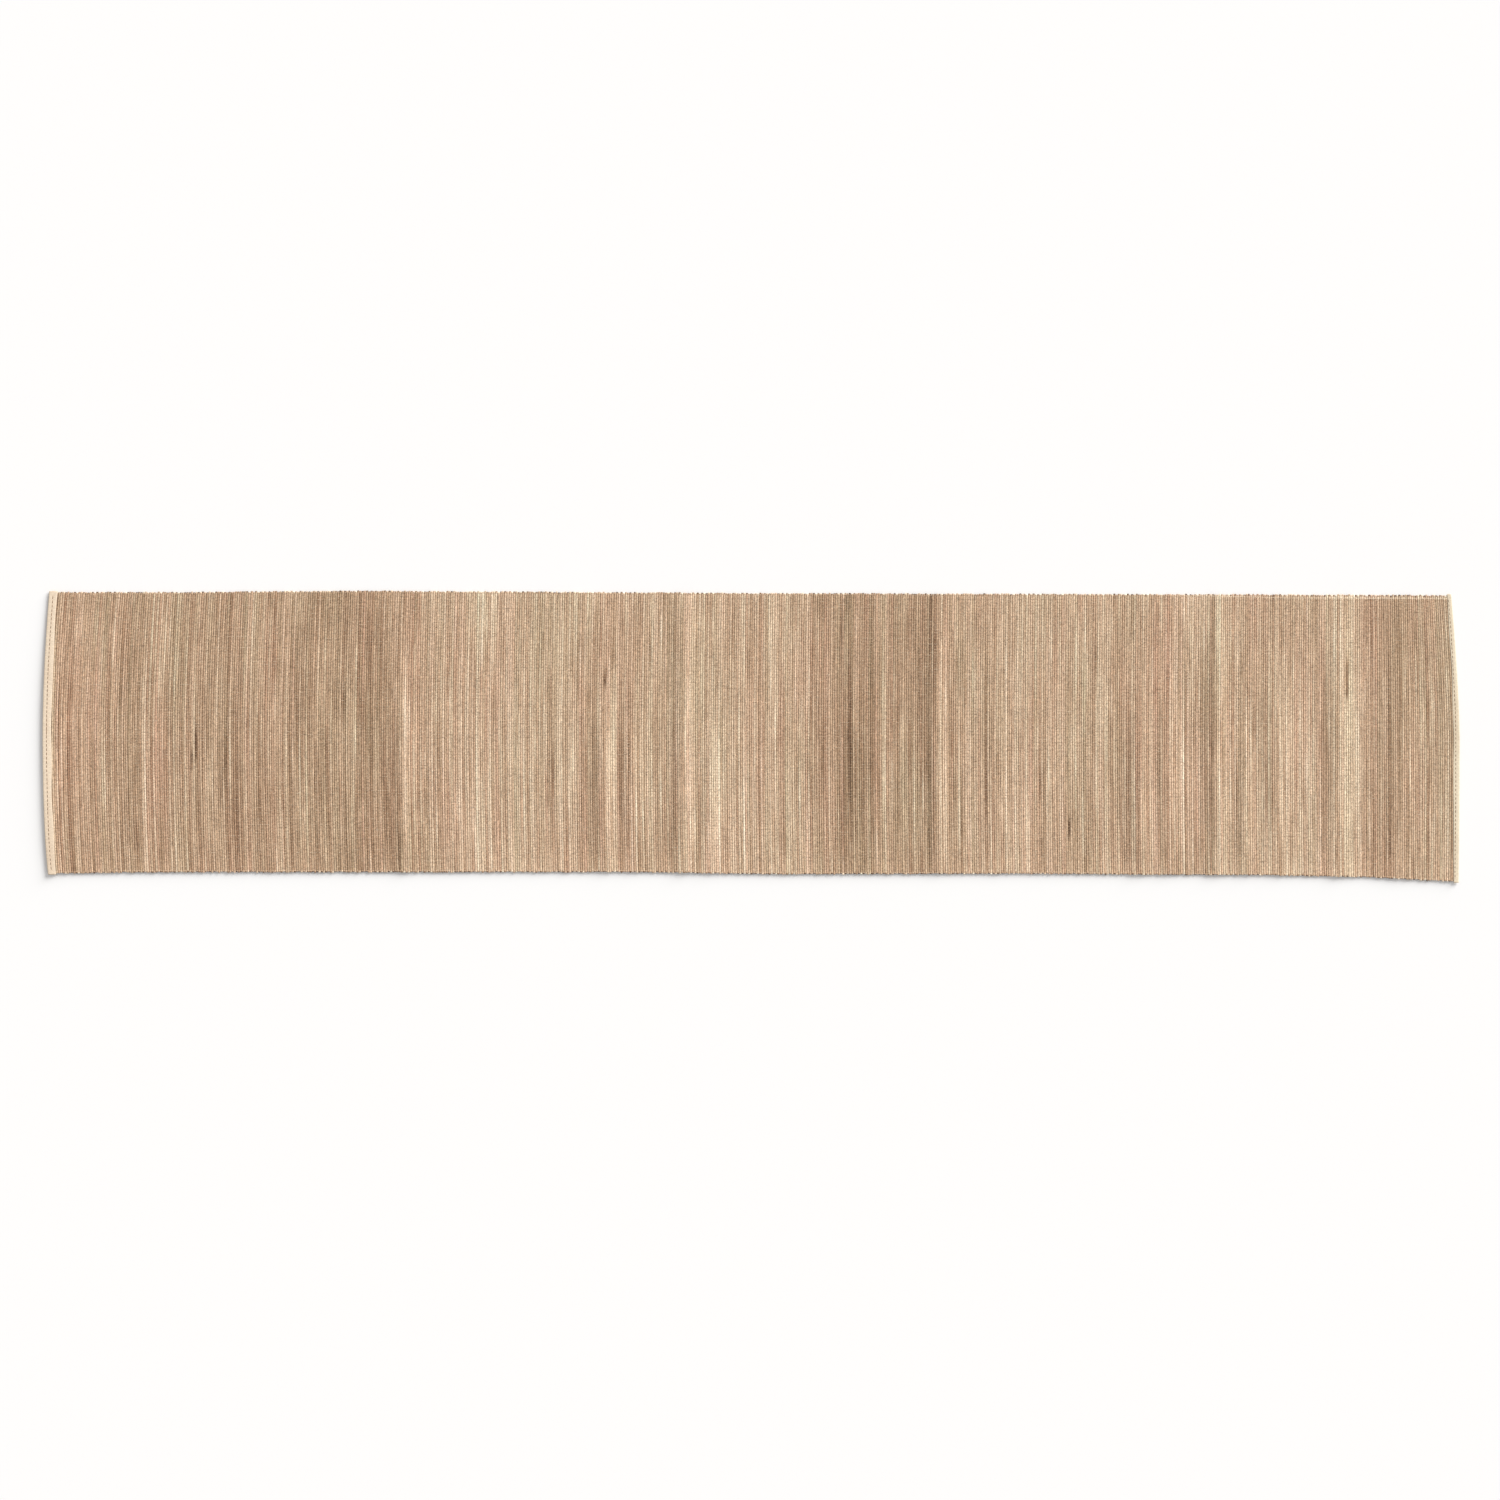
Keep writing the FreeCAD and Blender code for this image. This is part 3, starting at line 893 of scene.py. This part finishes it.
def make_selvedges(material):
    """The cords along both long edges, in pieces that each cross one fold at most."""
    made = []
    edges = cuts(2)
    for label, side in (("front", -1), ("back", 1)):
        for number, (first, last) in enumerate(zip(edges, edges[1:]), 1):
            cord = make_cord(side, first, last, f"selvedge_{label}_{number}", material)
            bodies = follow(cord, rib_x(first), rib_x(last))
            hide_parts(*(f"{body}_selvedge_{label}" for body in bodies))
            made.append((cord, rib_x(first), rib_x(last)))
    return made


def make_binding(side, tape_material, seam_material):
    """A bound end: its tape and the two threads of its seam."""
    tape = make_tape(side, tape_material)
    needle = make_seam(side, False, side + "_needle_stitches", seam_material)
    bobbin = make_seam(side, True, side + "_bobbin_stitches", seam_material)
    for piece, node in ((tape, "_binding"), (needle, "_needle_thread"),
                        (bobbin, "_bobbin_thread")):
        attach(piece, side + "_end")
        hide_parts(side + node)
    return [tape, needle, bobbin]


def declare_sheets(weaves, selvedges, bindings):
    """Gathers each woven section's warps, cords and binding into a list, which is not used further.
    """
    for weave, warps, low, high in weaves:
        middle = (low + high) / 2
        pieces = [warps]
        pieces += [cord for cord, start, end in selvedges if low <= (start + end) / 2 < high]
        if low < -HALF_LENGTH + 5 * MM:
            pieces += bindings["left"]
        if high > HALF_LENGTH - 5 * MM:
            pieces += bindings["right"]


def make_floor():
    """The table top."""
    mesh = bpy.data.meshes.new("table_top")
    half, low = TABLE_HALF, TABLE_Z
    mesh.from_pydata([(-half, -half, low), (half, -half, low), (half, half, low),
                      (-half, half, low)], [], [(0, 1, 2, 3)])
    mesh.materials.append(floor_look())
    floor = bpy.data.objects.new("table_top", mesh)
    bpy.context.scene.collection.objects.link(floor)


def make_light():
    """A soft studio: one broad light from the upper right, and an even white fill."""
    scene = bpy.context.scene
    world = bpy.data.worlds.new("studio")
    world.use_nodes = True
    background = world.node_tree.nodes["Background"]
    background.inputs[0].default_value = FILL_COLOUR
    background.inputs[1].default_value = FILL_STRENGTH
    scene.world = world
    data = bpy.data.lights.new("window", "SUN")
    data.energy = LIGHT_STRENGTH
    data.angle = LIGHT_BREADTH
    data.color = LIGHT_COLOUR
    lamp = bpy.data.objects.new("window", data)
    lamp.rotation_euler = LIGHT_TURN
    scene.collection.objects.link(lamp)
    scene.view_settings.view_transform = "Standard"


def make_camera():
    """Straight above, far off, with the runner a little above the picture's middle."""
    data = bpy.data.cameras.new("camera")
    data.sensor_width = SENSOR
    data.lens = SENSOR * CAMERA_PLACE[2] / CAMERA_SEES
    data.clip_end = 60.0
    camera = bpy.data.objects.new("camera", data)
    camera.location = CAMERA_PLACE
    bpy.context.scene.collection.objects.link(camera)
    bpy.context.scene.camera = camera


def main():
    """Builds every piece and the studio."""
    fibre = fibre_look()
    warp = thread_look("warp_yarn", 900, 1500, 0.15, 0.7)
    cord = thread_look("selvedge_yarn", 1400, 900, 0.25, 0.7)
    seam = thread_look("seam_yarn", 900, 2600, 0.25, 0.6)
    tape = tape_look()
    weaves = make_weave(fibre, warp)
    selvedges = make_selvedges(cord)
    bindings = {side: make_binding(side, tape, seam) for side in ("left", "right")}
    declare_sheets(weaves, selvedges, bindings)
    make_floor()
    make_light()
    make_camera()


main()
